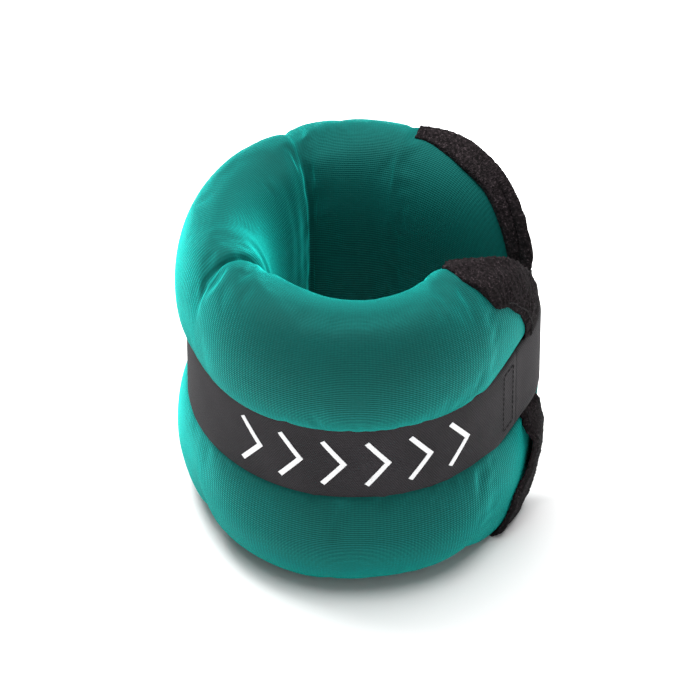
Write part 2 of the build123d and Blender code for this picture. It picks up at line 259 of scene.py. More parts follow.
def pad_section(angle, side=1):
    """Sizes of the upper or lower half of the pad's section at a plan angle."""
    s = sizes()
    from_rear = abs(angle - REAR_CREASE)
    from_front = abs(angle - FRONT_CREASE)
    belly = swell(from_rear / 24) * swell(from_front / 22)
    rear_dip = 1 - swell(from_rear / 12)
    front_dip = 1 - swell(from_front / 13)
    section = {
        "crest": s.crest_radius,
        "outer": s.bulge_radius,
        "inner": s.fold_radius + (s.opening_radius - s.fold_radius) * belly,
        "half": PAD_HEIGHT / 2 - s.fold_dip * (0.3 * rear_dip + front_dip),
        "groove": GROOVE,
        "floor": s.waist_radius,
    }
    under_flap = smooth((130 - angle) / 10) if angle < 180 else smooth((angle - 318) / 22)
    section["groove"] += GROOVE_WIDER * under_flap
    for end, data in ENDS.items():
        tip, corner = data[0], data[1 if side > 0 else 2][0]
        lead = 16 if end == "far" else -16
        ease = smooth((corner + lead - angle) / lead)
        if ease == 0:
            continue
        share = min(max((angle - corner) / (tip - corner), 0.0) * EDGE_ROOM, 1.0)
        blunt = data[1 if side > 0 else 2][3]
        edge_radius, edge_height = outline(end, side, angle)
        taper = (1 - share * share) ** 0.6
        section["crest"] += (edge_radius - section["crest"]) * ease
        section["half"] = (section["half"] - 1.2 * share) * (1 - share ** blunt) ** (1 / blunt)
        section["inner"] = section["crest"] - (section["crest"] - section["inner"]) * taper
        low = section["crest"] + 0.6
        section["outer"] = low + (max(section["outer"], low) - low) * smooth((section["half"] - 25) / 13)
    return section


RING = 96
FLOOR_STEPS, WALL_STEPS, BULGE_STEPS, LINING_STEPS, BORE_STEPS = 6, 8, 14, 14, 6


def ring_point(sections, step, shrink=0.0):
    """Radius and height above the middle of one point of a section, by its step round the ring."""
    side = 1 if step <= RING // 2 else -1
    section = sections[0] if side > 0 else sections[1]
    t = step if side > 0 else RING - step
    half = max(section["half"] - shrink, 0.05)
    outer = max(section["outer"] - shrink, section["crest"] + 0.05)
    inner = min(section["inner"] + shrink, section["crest"] - 0.05)
    crest = section["crest"]
    floor = min(section["floor"] - shrink, outer)
    groove = min(section["groove"] + shrink, GROOVE_SHARE * half)
    bulge = max(BULGE_SHARE * half, groove + 0.25 * (half - groove))
    quarter = pi / 2
    if t <= FLOOR_STEPS:
        return floor, side * groove * t / FLOOR_STEPS
    t -= FLOOR_STEPS
    if t <= WALL_STEPS:
        a = quarter * t / WALL_STEPS
        return floor + (outer - floor) * sin(a), side * (bulge - (bulge - groove) * cos(a))
    t -= WALL_STEPS
    if t <= BULGE_STEPS:
        a = quarter * t / BULGE_STEPS
        return crest + (outer - crest) * cos(a), side * (bulge + (half - bulge) * sin(a))
    t -= BULGE_STEPS
    bore = BORE_SHARE * half
    if t <= LINING_STEPS:
        a = quarter * t / LINING_STEPS
        return crest - (crest - inner) * sin(a), side * (bore + (half - bore) * cos(a))
    t -= LINING_STEPS
    return inner, side * bore * (1 - t / BORE_STEPS)


def face_radius(section, height, outside):
    """Radius of the pad's outer or inner skin at a height above the middle."""
    half, crest, outer, inner = (section[key] for key in ("half", "crest", "outer", "inner"))
    high = min(abs(height), half)
    if not outside:
        bore = BORE_SHARE * half
        rest = max(0.0, high - bore) / max(half - bore, 0.01)
        return crest - (crest - inner) * sqrt(max(0.0, 1 - rest * rest))
    floor = min(section["floor"], outer)
    groove = min(section["groove"], GROOVE_SHARE * half)
    bulge = max(BULGE_SHARE * half, groove + 0.25 * (half - groove))
    if high <= groove:
        return floor
    if high <= bulge:
        rest = (bulge - high) / (bulge - groove)
        return floor + (outer - floor) * sqrt(max(0.0, 1 - rest * rest))
    rest = (high - bulge) / max(half - bulge, 0.01)
    return crest + (outer - crest) * sqrt(max(0.0, 1 - rest * rest))


# ---- Mesh helpers ----
def new_piece(name, bm):
    """Object in the scene with a bmesh's shape; the bmesh is freed."""
    mesh = bpy.data.meshes.new(name)
    bm.to_mesh(mesh)
    bm.free()
    piece = bpy.data.objects.new(name, mesh)
    bpy.context.scene.collection.objects.link(piece)
    return piece


def shade_smooth(piece):
    piece.data.polygons.foreach_set("use_smooth", [True] * len(piece.data.polygons))
    piece.data.update()


def spun_tube(ring_size, sections):
    """Bmesh tube of unit size, with layers that give each vertex its section and its ring step."""
    bm = bmesh.new()
    step_layer = bm.verts.layers.int.new("ring_step")
    bmesh.ops.create_circle(bm, segments=ring_size, radius=0.3)
    bmesh.ops.rotate(bm, verts=bm.verts, cent=(0, 0, 0), matrix=Matrix.Rotation(pi / 2, 3, "X"))
    bmesh.ops.translate(bm, verts=bm.verts, vec=(1, 0, 0))
    bm.verts.ensure_lookup_table()
    for step, vert in enumerate(bm.verts):
        vert[step_layer] = step
    bmesh.ops.spin(
        bm,
        geom=bm.verts[:] + bm.edges[:],
        cent=(0, 0, 0),
        axis=(0, 0, 1),
        angle=radians(350),
        steps=sections - 1,
        use_merge=False,
        use_normal_flip=False,
        use_duplicate=False,
    )
    section_layer = bm.verts.layers.int.new("section")
    for vert in bm.verts:
        turn = degrees(atan2(vert.co.y, vert.co.x)) % 360
        vert[section_layer] = round(turn / 350 * (sections - 1)) if turn < 355 else 0
    return bm, section_layer, step_layer


def pad_bmesh(angles, shrink=0.0):
    """Closed bmesh of the pad through sections at some plan angles, taken in by shrink."""
    bm, section_layer, step_layer = spun_tube(RING, len(angles))
    sections = [(pad_section(angle, 1), pad_section(angle, -1)) for angle in angles]
    for vert in bm.verts:
        index = vert[section_layer]
        radius, height = ring_point(sections[index], vert[step_layer], shrink)
        vert.co = polar(radius, angles[index], MID_HEIGHT + height)
    edges = [edge for edge in bm.edges if edge.is_boundary]
    bmesh.ops.holes_fill(bm, edges=edges, sides=0)
    bmesh.ops.recalc_face_normals(bm, faces=bm.faces)
    return bm


def along_lengths(angles):
    """Length along the pad to each section, in metres, at the crest."""
    total, lengths = 0.0, [0.0]
    for first, second in zip(angles, angles[1:]):
        total += (polar(56, second) - polar(56, first)).length
        lengths.append(total)
    return lengths


def write_cloth_map(bm, angles):
    """UV map in metres: x runs along the pad, y round its section."""
    section_layer = bm.verts.layers.int["section"]
    step_layer = bm.verts.layers.int["ring_step"]
    uv_layer = bm.loops.layers.uv.new("cloth")
    lengths = along_lengths(angles)
    for face in bm.faces:
        steps = [loop.vert[step_layer] for loop in face.loops]
        wraps = max(steps) - min(steps) > RING // 2
        for loop in face.loops:
            step = loop.vert[step_layer]
            if wraps and step < RING // 2:
                step += RING
            loop[uv_layer].uv = (lengths[loop.vert[section_layer]], step * CLOTH_PITCH)


def swell_like_a_pillow(piece, pinned, pressure=4.0, limit=0.9):
    """Blow the piece up a little with cloth simulation, so that its skin draws tight and creases.

    pinned gives each vertex's hold from 0 to 1, and no point moves more than limit millimetres.
    """
    rest = [vert.co.copy() for vert in piece.data.vertices]
    group = piece.vertex_groups.new(name="held")
    for index, weight in enumerate(pinned):
        if weight > 0:
            group.add([index], weight, "REPLACE")
    modifier = piece.modifiers.new("pillow", "CLOTH")
    modifier.settings.quality = 5
    modifier.settings.mass = 0.1
    modifier.settings.tension_stiffness = 8
    modifier.settings.compression_stiffness = 8
    modifier.settings.bending_stiffness = 0.3
    modifier.settings.use_pressure = True
    modifier.settings.uniform_pressure_force = pressure
    modifier.settings.effector_weights.gravity = 0
    modifier.settings.vertex_group_mass = "held"
    modifier.settings.shrink_min = -0.035
    modifier.collision_settings.use_self_collision = False
    scene = bpy.context.scene
    for number in range(1, CLOTH_FRAMES + 1):
        scene.frame_set(number)
    graph = bpy.context.evaluated_depsgraph_get()
    swollen = piece.evaluated_get(graph).to_mesh()
    moved = [vert.co.copy() for vert in swollen.vertices]
    piece.evaluated_get(graph).to_mesh_clear()
    piece.modifiers.remove(modifier)
    piece.vertex_groups.remove(group)
    scene.frame_set(1)
    for vert, start, end in zip(piece.data.vertices, rest, moved):
        shift = end - start
        if shift.length > limit * MM:
            shift *= limit * MM / shift.length
        vert.co = start + shift
    piece.data.update()


def keep_part(piece, keep):
    """Delete the faces of a piece whose middle fails a test, keeping the normals of the whole."""
    normals = {}
    mesh = piece.data
    for vert in mesh.vertices:
        normals[tuple(round(c, 7) for c in vert.co)] = vert.normal.copy()
    bm = bmesh.new()
    bm.from_mesh(mesh)
    lost = [face for face in bm.faces if not keep(face.calc_center_median())]
    bmesh.ops.delete(bm, geom=lost, context="FACES")
    bm.to_mesh(mesh)
    bm.free()
    shade_smooth(piece)
    mesh.normals_split_custom_set_from_vertices(
        [normals.get(tuple(round(c, 7) for c in vert.co), vert.normal) for vert in mesh.vertices]
    )


def banded(name, first, last, radius, width, thick, rise=None, step=1.5, cloth_rows=12, edge=0.45):
    """Band round the cuff's axis with rounded edges.

    radius is its outer face; rise gives an extra radius at a plan angle. The ring of its section
    is a rounded rectangle: out along the outer face and back along the inner one.
    """
    count = max(3, round((last - first) / step) + 1)
    angles = [first + (last - first) * i / (count - 1) for i in range(count)]
    ring = 2 * (cloth_rows + 3)
    bm, section_layer, step_layer = spun_tube(ring, count)
    corner = min(edge, thick / 2)
    for vert in bm.verts:
        angle = angles[vert[section_layer]]
        step_at = vert[step_layer]
        outer_side = step_at < ring // 2
        t = (step_at % (ring // 2)) / (ring // 2 - 1)
        height = (t - 0.5) * width if outer_side else (0.5 - t) * width
        inset = corner if width / 2 - abs(height) < 1e-6 else 0.0
        out = radius - inset if outer_side else radius - thick + inset
        if rise:
            out += rise(angle)
        vert.co = polar(out, angle, MID_HEIGHT + height)
    bmesh.ops.holes_fill(bm, edges=[rim for rim in bm.edges if rim.is_boundary], sides=0)
    bmesh.ops.recalc_face_normals(bm, faces=bm.faces)
    uv_layer = bm.loops.layers.uv.new("cloth")
    for face in bm.faces:
        for loop in face.loops:
            angle = angles[loop.vert[section_layer]]
            loop[uv_layer].uv = (radians(angle) * radius * MM, loop.vert.co.z)
    return new_piece(name, bm)


# ---- Shader maths ----
class Wire:
    """A socket's value, on which Python's operators make Math nodes."""

    def __init__(self, paint, socket):
        self.paint = paint
        self.socket = socket

    def math(self, operation, first, second=None):
        values = {0: first} if second is None else {0: first, 1: second}
        return self.paint.node("ShaderNodeMath", {"operation": operation}, values)

    def __add__(self, other):
        return self.math("ADD", self, other)

    def __mul__(self, other):
        return self.math("MULTIPLY", self, other)

    def __radd__(self, other):
        return self.math("ADD", other, self)

    def __rsub__(self, other):
        return self.math("SUBTRACT", other, self)

    def __rmul__(self, other):
        return self.math("MULTIPLY", other, self)

    def sine(self):
        return self.math("SINE", self)

    def part(self, low, high):
        """Rise from 0 to 1 as the value goes from low to high."""
        values = {"Value": self, "From Min": low, "From Max": high}
        return self.paint.node("ShaderNodeMapRange", {"interpolation_type": "SMOOTHSTEP"}, values)


class Paint:
    """A material and the nodes in it."""

    def __init__(self, name, metallic=0.0, roughness=0.8):
        self.material = bpy.data.materials.new(name)
        self.material.use_nodes = True
        self.tree = self.material.node_tree
        self.shader = self.tree.nodes["Principled BSDF"]
        self.shader.inputs["Metallic"].default_value = metallic
        self.shader.inputs["Roughness"].default_value = roughness

    def node(self, kind, settings, values, output=0):
        """Make a node: its settings first, then the values or links of its sockets."""
        made = self.tree.nodes.new(kind)
        for key, value in settings.items():
            setattr(made, key, value)
        for key, value in values.items():
            self.join(made.inputs[key], value)
        return Wire(self, made.outputs[output])

    def join(self, socket, value):
        if isinstance(value, Wire):
            self.tree.links.new(value.socket, socket)
        else:
            socket.default_value = value

    def put(self, name, value):
        """Set or link one of the shader's own sockets."""
        self.join(self.shader.inputs[name], value)

    def cloth_uv(self):
        """The two directions of the piece's cloth map, in metres."""
        uv = self.node("ShaderNodeUVMap", {"uv_map": "cloth"}, {})
        split = self.node("ShaderNodeSeparateXYZ", {}, {0: uv})
        return split, Wire(self, split.socket.node.outputs[1]), uv

    def place(self):
        """Object coordinates."""
        return self.node("ShaderNodeTexCoord", {}, {}, output=3)

    def noise(self, at, scale, detail=3.0, roughness=0.5):
        values = {"Vector": at, "Scale": scale, "Detail": detail, "Roughness": roughness}
        return self.node("ShaderNodeTexNoise", {}, values)

    def cells(self, at, scale):
        return self.node("ShaderNodeTexVoronoi", {}, {"Vector": at, "Scale": scale})

    def mix(self, share, first, second):
        """Mix of two colours."""
        made = self.tree.nodes.new("ShaderNodeMix")
        made.data_type = "RGBA"
        self.join(made.inputs["Factor"], share)
        for socket, value in ((made.inputs[6], first), (made.inputs[7], second)):
            self.join(socket, value if isinstance(value, Wire) else (*value, 1))
        return Wire(self, made.outputs[2])

    def bump(self, height, distance, strength=1.0):
        values = {"Height": height, "Distance": distance, "Strength": strength}
        self.put("Normal", self.node("ShaderNodeBump", {}, values))


def shade(colour, amount):
    """A colour made lighter or darker by an amount."""
    return tuple(min(1.0, max(0.0, c * amount)) for c in colour[:])


# ---- Finishes ----
def cover_paint():
    """Fine knit face of neoprene: rows of stitches along the pad, and a nap that lights its rims."""
    p = Paint("knit_neoprene", roughness=0.72)
    c = colours()
    along, across, uv = p.cloth_uv()
    row = (across * (2 * pi / 0.00085)).sine()
    column = (along * (2 * pi / 0.0011)).sine()
    place = p.place()
    cloudy = p.noise(place, 26.0, detail=4.0)
    uneven = p.noise(uv, 900.0, detail=2.0)
    stitch = row * 0.5 + column * 0.28 + uneven * 0.9
    tone = p.mix(cloudy.part(0.3, 0.7), shade(c.cover, 0.86), shade(c.cover, 1.16))
    knit = p.mix(stitch.part(-0.4, 1.2), shade(c.cover, 0.72), tone)
    p.put("Base Color", knit)
    p.put("Roughness", 0.62 + 0.2 * cloudy)
    p.put("Sheen Weight", 1.0)
    p.put("Sheen Roughness", 0.45)
    p.put("Sheen Tint", (*c.cover_rim[:], 1))
    p.put("Specular IOR Level", 0.1)
    p.bump(stitch, 0.00012, 0.9)
    return p.material


def webbing_paint():
    """Close-woven polyester webbing: fine slanting ribs, with lighter and darker yarns."""
    p = Paint("woven_webbing", roughness=0.78)
    c = colours()
    along, across, uv = p.cloth_uv()
    rib = ((along + across * 0.6) * (2 * pi / 0.0009)).sine()
    weft = (across * (2 * pi / 0.0008)).sine()
    yarn = p.noise(uv, 1500.0, detail=2.0)
    worn = p.noise(p.place(), 45.0, detail=4.0)
    height = rib * 0.5 + weft * 0.35 + yarn * 0.8
    dark = p.mix(worn.part(0.3, 0.75), shade(c.webbing, 0.62), shade(c.webbing, 0.9))
    light = p.mix(worn.part(0.3, 0.75), shade(c.webbing, 1.05), shade(c.webbing, 1.45))
    p.put("Base Color", p.mix(height.part(0.0, 1.2), dark, light))
    p.put("Roughness", 0.7 + 0.2 * yarn)
    p.put("Specular IOR Level", 0.18)
    p.bump(height, 0.00015, 0.9)
    return p.material


def binding_paint():
    """Fuzzy loop tape: near-black tangled loops with a few paler tips."""
    p = Paint("fuzzy_loop", roughness=0.95)
    c = colours()
    place = p.place()
    loops = p.cells(place, 1900.0)
    tangle = p.noise(place, 1000.0, detail=4.0, roughness=0.65)
    clumps = p.noise(place, 90.0, detail=3.0)
    height = loops * 0.8 + tangle + clumps * 0.6
    body = p.mix(tangle.part(0.35, 0.7), shade(c.binding, 0.45), shade(c.binding, 2.8))
    p.put("Base Color", p.mix((loops * tangle).part(0.33, 0.58), body, shade(c.binding, 9.0)))
    p.put("Roughness", 0.88 + 0.1 * clumps)
    p.put("Specular IOR Level", 0.1)
    p.bump(height, 0.00035, 1.0)
    return p.material


def ink_paint():
    """Screen-printed ink with a fine grain, worn thin in specks."""
    p = Paint("print_ink", roughness=0.6)
    c = colours()
    place = p.place()
    grain = p.noise(place, 1400.0, detail=2.0)
    thin = p.noise(place, 240.0, detail=4.0)
    specks = (grain * thin).part(0.36, 0.5)
    p.put("Base Color", p.mix(specks, c.print_ink[:], shade(c.print_ink, 0.72)))
    p.put("Roughness", 0.5 + 0.25 * grain)
    p.bump(grain, 0.0001, 0.6)
    return p.material


def thread_paint():
    """Twisted sewing thread."""
    p = Paint("sewing_thread", roughness=0.7)
    p.put("Specular IOR Level", 0.15)
    c = colours()
    place = p.place()
    twist = p.noise(place, 2200.0, detail=2.0)
    p.put("Base Color", p.mix(twist.part(0.35, 0.65), shade(c.thread, 0.7), shade(c.thread, 1.9)))
    p.put("Roughness", 0.55 + 0.3 * twist)
    p.bump(twist, 0.0001, 0.8)
    return p.material


def hook_paint():
    """Moulded hook tape: rows of small stiff hooks."""
    p = Paint("hook_tape", roughness=0.55)
    place = p.place()
    hooks = p.cells(place, 1100.0)
    lint = p.noise(place, 300.0, detail=4.0)
    p.put("Base Color", p.mix(hooks.part(0.2, 0.8), (0.006, 0.006, 0.007), (0.03, 0.03, 0.033)))
    p.put("Roughness", 0.45 + 0.35 * lint)
    p.bump(1 - hooks, 0.0004, 1.0)
    return p.material


def loop_tape_paint():
    """Flat loop tape sewn to the strap."""
    p = Paint("loop_tape", roughness=0.95)
    place = p.place()
    pile = p.noise(place, 1300.0, detail=3.0, roughness=0.7)
    rubbed = p.noise(place, 60.0, detail=3.0)
    p.put("Base Color", p.mix(pile.part(0.3, 0.7), (0.007, 0.007, 0.008), (0.035, 0.034, 0.037)))
    p.put("Roughness", 0.85 + 0.12 * rubbed)
    p.put("Sheen Weight", 0.3)
    p.bump(pile, 0.0003, 1.0)
    return p.material


def bag_paint():
    """Plain woven cotton of the sand bags."""
    p = Paint("bag_cloth", roughness=0.9)
    c = colours()
    place = p.place()
    split = p.node("ShaderNodeSeparateXYZ", {}, {0: place})
    depth = Wire(p, split.socket.node.outputs[2])
    warp = ((split + Wire(p, split.socket.node.outputs[1])) * (2 * pi / 0.0012)).sine()
    weft = (depth * (2 * pi / 0.0012)).sine()
    dust = p.noise(place, 40.0, detail=5.0)
    p.put("Base Color", p.mix(dust.part(0.4, 0.75), c.bag[:], shade(c.bag, 0.6)))
    p.put("Roughness", 0.82 + 0.14 * dust)
    p.bump(warp * weft, 0.0002, 0.9)
    return p.material


def sand_paint():
    """Grains of iron sand, dull with a few bright faces."""
    p = Paint("iron_sand", metallic=0.4, roughness=0.6)
    c = colours()
    place = p.place()
    grains = p.cells(place, 1000.0)
    tint = p.noise(place, 700.0, detail=3.0)
    p.put("Base Color", p.mix(tint.part(0.3, 0.7), shade(c.sand, 0.6), shade(c.sand, 2.0)))
    p.put("Roughness", 0.35 + 0.5 * tint)
    p.put("Metallic", tint.part(0.4, 0.8) * 0.8)
    p.bump(1 - grains, 0.0005, 1.0)
    return p.material


def floor_paint():
    p = Paint("studio_floor", roughness=0.9)
    c = colours()
    wash = p.noise(p.place(), 3.0, detail=3.0)
    p.put("Base Color", p.mix(wash, c.floor[:], shade(c.floor, 0.985)))
    return p.material


PAINTERS = {
    "cover_fabric": cover_paint,
    "strap_webbing": webbing_paint,
    "binding_loop": binding_paint,
    "print_ink": ink_paint,
    "thread": thread_paint,
    "hook_tape": hook_paint,
    "loop_tape": loop_tape_paint,
    "bag_cloth": bag_paint,
    "iron_sand": sand_paint,
    "floor": floor_paint,
}
FINISHES = {}


def finish_of(slot):
    """The material of a slot, made the first time it is asked for."""
    if slot not in FINISHES:
        FINISHES[slot] = PAINTERS[slot]()
    return FINISHES[slot]


def coat(piece, slot):
    """Give a new piece its slot's material."""
    piece.data.materials.clear()
    piece.data.materials.append(finish_of(slot))
    return piece


def finish(piece, slot, node, body):
    """Smooth, coat and place a piece that stands for one CAD node and rides on one body."""
    shade_smooth(piece)
    coat(piece, slot)
    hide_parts(node)
    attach(piece, body)


def blend_at(piece, before, after, hinge_angle, radius, reach):
    """Bake a piece's placement into its mesh; the piece is not bent at the hinge."""
    middle = polar(radius, hinge_angle, MID_HEIGHT)
    along = polar(1, hinge_angle + 90) / MM * reach * MM
    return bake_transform(piece, before, after, start=middle - along, end=middle + along)


# ---- The cuff's pieces ----
class CUFF_OT_pad(bpy.types.Operator):
    """Teal neoprene pad, rolled into three lobes, in two pieces that join inside the side lobe."""

    bl_idname = "cuff.pad"
    bl_label = "Pad cover"

    def execute(self, context):
        count = sizes().along_count
        angles = [pad_station(i / (count - 1)) for i in range(count)]
        bm = pad_bmesh(angles)
        write_cloth_map(bm, angles)
        section_layer = bm.verts.layers.int["section"]
        step_layer = bm.verts.layers.int["ring_step"]
        held = []
        for vert in bm.verts:
            t = min(vert[step_layer], RING - vert[step_layer])
            angle = angles[vert[section_layer]]
            under_strap = t <= FLOOR_STEPS + 1
            end_hold = max(far_share(angle), near_share(angle))
            fold = min(abs(angle - REAR_CREASE), abs(angle - FRONT_CREASE)) < FOLD_HELD
            in_fold = fold and t > FLOOR_STEPS + WALL_STEPS + BULGE_STEPS * 0.6
            held.append(1.0 if under_strap or in_fold else smooth(end_hold * 4))
        whole = new_piece("pad_whole", bm)
        swell_like_a_pillow(whole, held)
        add_wrinkles(whole)
        shade_smooth(whole)
        levels = 1
        for name, bodies, crease, first, last, nodes in (
            ("pad_back", ("back_section", "side_section"), REAR_CREASE, 0, SIDE_MIDDLE,
             ("cover_back", "cover_side")),
            ("pad_front", ("side_section", "front_section"), FRONT_CREASE, SIDE_MIDDLE, 400,
             ("cover_front",)),
        ):
            piece = whole.copy()
            piece.name = name
            piece.data = whole.data.copy()
            context.scene.collection.objects.link(piece)
            smooth_once(piece, levels)
            for vert in piece.data.vertices:
                vert.co.z = max(vert.co.z, 0)
            keep_part(piece, lambda at: first <= plan_angle(at) < last)
            coat(piece, "cover_fabric")
            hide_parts(*nodes)
            blend_at(piece, bodies[0], bodies[1], crease, STRAP_OUT, 9)
        bpy.data.objects.remove(whole)
        return {"FINISHED"}


def smooth_once(piece, levels):
    """Apply Subdivision Surface to a piece's mesh."""
    if levels == 0:
        return
    modifier = piece.modifiers.new("smooth", "SUBSURF")
    modifier.levels = levels
    modifier.render_levels = levels
    graph = bpy.context.evaluated_depsgraph_get()
    finer = bpy.data.meshes.new_from_object(piece.evaluated_get(graph))
    piece.modifiers.clear()
    piece.data = finer


def add_wrinkles(piece):
    """Push the skin in and out along its normals: soft dents, and puckers that run into the folds."""
    mesh = piece.data
    normals = [vert.normal.copy() for vert in mesh.vertices]
    for vert, normal in zip(mesh.vertices, normals):
        at = vert.co / MM
        angle = plan_angle(vert.co)
        radius = sqrt(at.x ** 2 + at.y ** 2)
        dent = noise.noise(Vector((at.x, at.y, at.z)) * 0.03) * 0.8
        from_fold = min(abs(angle - REAR_CREASE), abs(angle - FRONT_CREASE))
        pucker = exp(-((from_fold / 16) ** 2)) * smooth((62 - radius) / 12)
        pucker *= 0.45 if angle < SIDE_MIDDLE else 0.8
        ripple = noise.noise(Vector((angle * 0.13, at.z * 0.035, radius * 0.06)))
        vert.co = vert.co + normal * (dent + pucker * ripple * 2.4 - TAKE_IN) * MM
        vert.co.z = max(vert.co.z, 0)
    mesh.update()


def edge_point(end, level, depth=0.0):
    """Plan angle, signed height and radius of a point on an end's edge, taken in by a depth.

    level runs from 1 at the upper corner, through 0 at the tip, to -1 at the lower corner.
    """
    side = 1 if level >= 0 else -1
    tip, upper, lower = ENDS[end]
    corner = upper[0] if side > 0 else lower[0]
    share = cos(pi / 2 * abs(level)) ** END_CROWDING
    angle = corner + (tip - corner) * share
    radius, height = outline(end, side, angle)
    turn = 0.02 * (tip - corner)
    before = outline(end, side, angle - turn)[1] if share > 0.02 else height
    run = radians(turn) * radius
    rise = height - before
    if share > 0.985:
        run, rise = 0.0, -1.0
    length = sqrt(run * run + rise * rise)
    inward = Vector((-abs(rise), -abs(run))) / length
    toward_corner = 1 if corner > tip else -1
    angle += toward_corner * abs(inward.x) * depth / radians(radius)
    return angle, side * max(height - abs(inward.y) * depth, 0.0), radius


def leg_points(end, level, outside, width, count):
    """Points of one leg of the binding, from the edge inward along the pad's skin."""
    steps = 60
    path = []
    for number in range(steps + 1):
        depth = width * number / steps
        angle, height, radius = edge_point(end, level, depth)
        side = 1 if height >= 0 else -1
        flange = radius + (BINDING_ROOM if outside else -BINDING_ROOM)
        skin = face_radius(pad_section(angle, side), height, outside)
        reach = smooth(depth / 3.5)
        skin = max(skin, flange) if outside else min(skin, flange)
        path.append(polar(flange + (skin - flange) * reach, angle, MID_HEIGHT + height) / MM)
    lengths = [0.0]
    for first, second in zip(path, path[1:]):
        lengths.append(lengths[-1] + (second - first).length)
    points = []
    for number in range(count):
        goal = min(width * number / (count - 1), lengths[-1])
        index = max(i for i, length in enumerate(lengths) if length <= goal + 1e-9)
        if index == steps:
            points.append(path[-1])
            continue
        share = (goal - lengths[index]) / (lengths[index + 1] - lengths[index])
        points.append(path[index].lerp(path[index + 1], share))
    return points


def leg_width(end, level, outside):
    """Width of one leg of the binding: narrow at the corners, full toward the tip, a little uneven."""
    outer, inner, taper = LEG_WIDTHS[end]
    full = outer if outside else inner
    grown = smooth(cos(pi / 2 * abs(level)) ** END_CROWDING / taper + 0.1)
    uneven = 1 + 0.08 * noise.noise(Vector((level * 6, full, 0)))
    return 2.5 + (full - 2.5) * grown * uneven


def binding_piece(name, end, seed):
    """Loop tape folded round one end: a thick soft strip that hugs both faces of the end's edge."""
    count, leg = 190, 9
    rows = 2 * leg - 1
    ring = 2 * rows
    bm, section_layer, step_layer = spun_tube(ring, count)
    grid = []
    for number in range(count):
        level = 1 - 2 * number / (count - 1)
        level *= 0.985
        outer_leg = leg_points(end, level, True, leg_width(end, level, True), leg)
        inner_leg = leg_points(end, level, False, leg_width(end, level, False), leg)
        grid.append(outer_leg[::-1] + inner_leg[1:])
    for vert in bm.verts:
        number, step = vert[section_layer], vert[step_layer]
        row = step if step < rows else ring - 1 - step
        line = grid[number]
        before = grid[max(number - 1, 0)]
        after = grid[min(number + 1, count - 1)]
        along = after[row] - before[row]
        across = line[min(row + 1, rows - 1)] - line[max(row - 1, 0)]
        normal = along.cross(across)
        normal = normal.normalized() if normal.length > 1e-9 else Vector((0, 0, 1))
        if (row < leg - 1) == (normal.dot(Vector((line[row].x, line[row].y, 0))) < 0):
            normal = -normal
        if row == leg - 1:
            normal = (line[row] - (line[0] + line[-1]) / 2).normalized()
        edge = min(row, rows - 1 - row) / (rows - 1)
        at = line[row]
        rough = 1.0 if end == "near" else 0.4
        lump = noise.noise(at * 0.16 + Vector((seed, 0, 0))) * 0.5 * rough
        bend = noise.noise(at * 0.11 + Vector((0, 0, seed))) * 5
        ridge = sin((at.x + at.y * 0.6 + bend) * 1.9) * smooth((at.z - 60) / 20)
        fold = (ridge * 0.3 + noise.noise(at * 0.4) * 0.3) * rough
        thick = 1.5 * smooth(edge / 0.1 + 0.25) + lump + fold
        vert.co = (at + normal * (thick if step < rows else -0.4)) * MM
    bmesh.ops.holes_fill(bm, edges=[edge for edge in bm.edges if edge.is_boundary], sides=0)
    bmesh.ops.subdivide_edges(bm, edges=bm.edges, cuts=1, use_grid_fill=True)
    bmesh.ops.recalc_face_normals(bm, faces=bm.faces)
    bm.normal_update()
    for vert in bm.verts:
        at = vert.co / MM
        fuzz = noise.noise(at * 2.2) * 0.2 + abs(noise.noise(at * 0.8 + Vector((seed, 0, 0)))) * 0.2
        vert.co = vert.co + vert.normal * fuzz * MM
        vert.co.z = max(vert.co.z, 0)
    return new_piece(name, bm)


class CUFF_OT_bindings(bpy.types.Operator):
    """Fuzzy loop binding folded round each rounded end of the pad."""

    bl_idname = "cuff.bindings"
    bl_label = "End bindings"

    def execute(self, context):
        for end, body, seed in (("far", "back_section", 3.0), ("near", "front_section", 7.0)):
            piece = binding_piece(end + "_binding_tape", end, seed)
            finish(piece, "binding_loop", end + "_end_binding", body)
        return {"FINISHED"}


def flap_rise(angle):
    """How far the flap lies outside the sewn strap: it climbs over the far end and both bound tips."""
    from_zero = angle - 360 if angle > 150 else angle
    over_tips = max(0, 1 - ((from_zero - 6) / 22) ** 2) ** 2
    return (FLAP_OUT - STRAP_OUT) * smooth((from_zero + 26) / 30) + TIP_LIFT * over_tips


